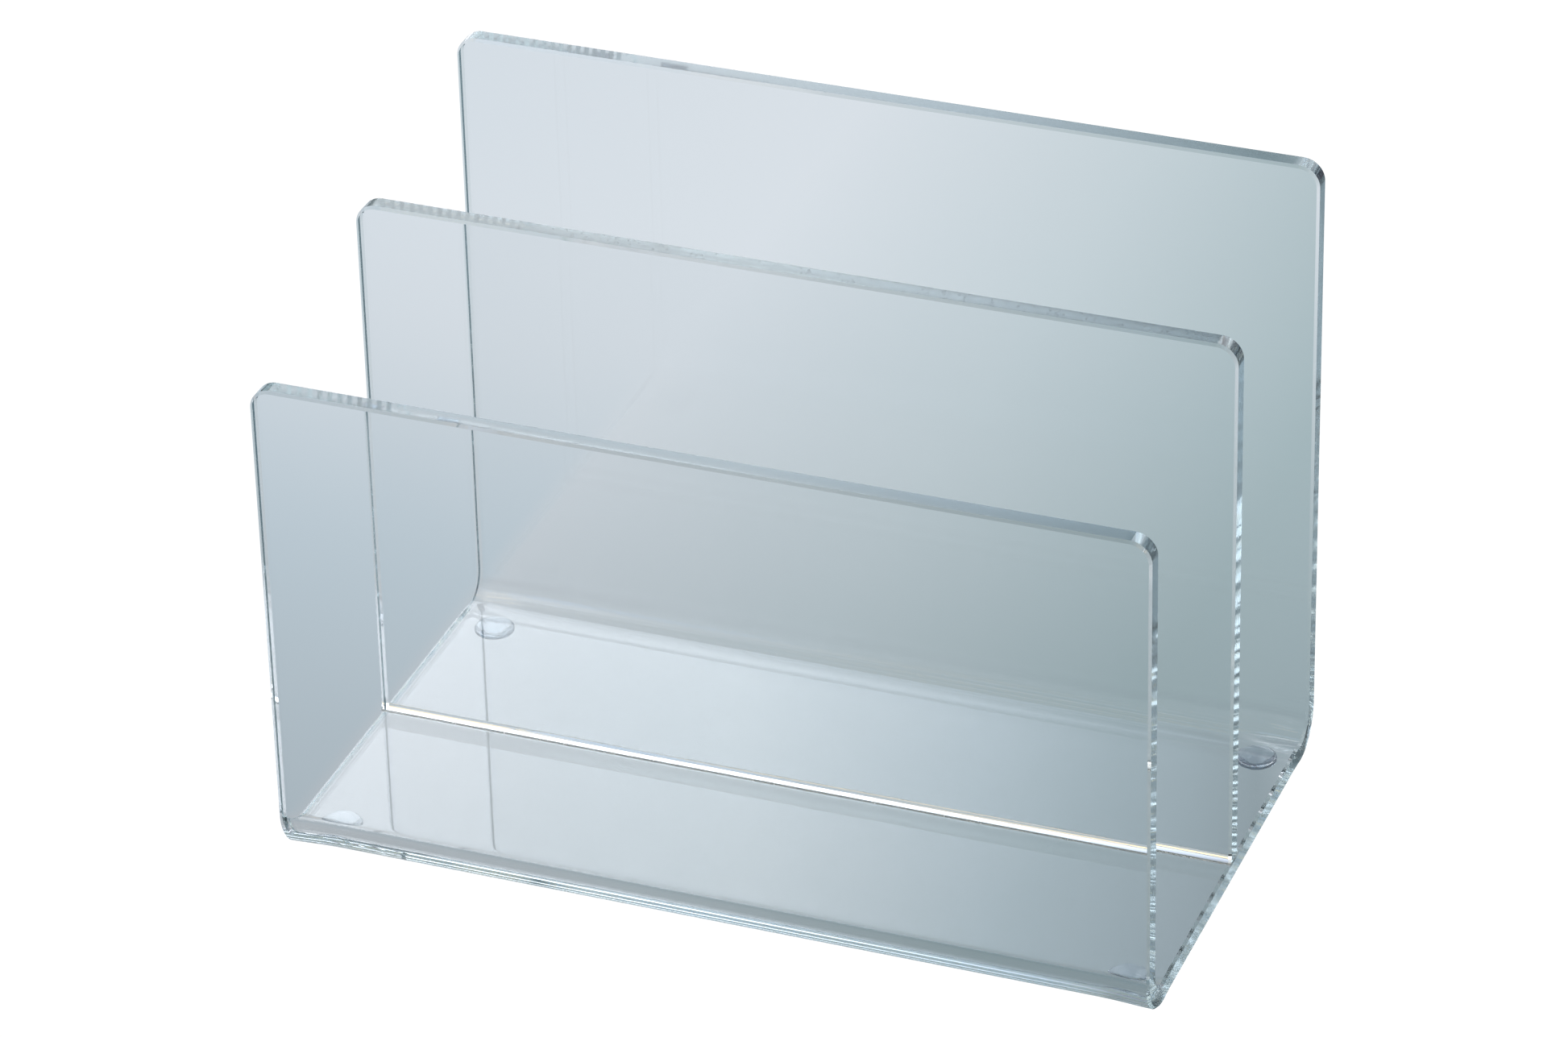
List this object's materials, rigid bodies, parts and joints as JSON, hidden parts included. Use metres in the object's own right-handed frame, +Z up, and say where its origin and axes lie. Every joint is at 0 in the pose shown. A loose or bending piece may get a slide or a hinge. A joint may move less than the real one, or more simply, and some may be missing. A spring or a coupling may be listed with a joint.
{
  "type": "magazine rack",
  "caption": "Clear acrylic desk rack for magazines and letters: one bent sheet forms a low front, base and tall back, with a cemented divider making two pockets, on clear bumpers.",
  "frame": {"origin": "middle of the footprint, on the surface that the bumpers rest on", "axes": "+X along the rack's width, +Y from the low front to the tall back, +Z up"},
  "size_m": [0.205, 0.122, 0.1522],
  "materials": {
    "clear_acrylic": "clear, polished faces and edges",
    "cement": "clear solvent cement, glossy",
    "bumper": "clear soft polyurethane, glossy",
    "adhesive": "clear acrylic adhesive film"
  },
  "bodies": {
    "root": {"bent_sheet": "clear_acrylic", "divider": "clear_acrylic", "cement_joint": "cement", "bumper_front_left": "bumper", "bumper_front_right": "bumper", "bumper_back_left": "bumper", "bumper_back_right": "bumper", "adhesive_front_left": "adhesive", "adhesive_front_right": "adhesive", "adhesive_back_left": "adhesive", "adhesive_back_right": "adhesive"}
  },
  "joints": []
}
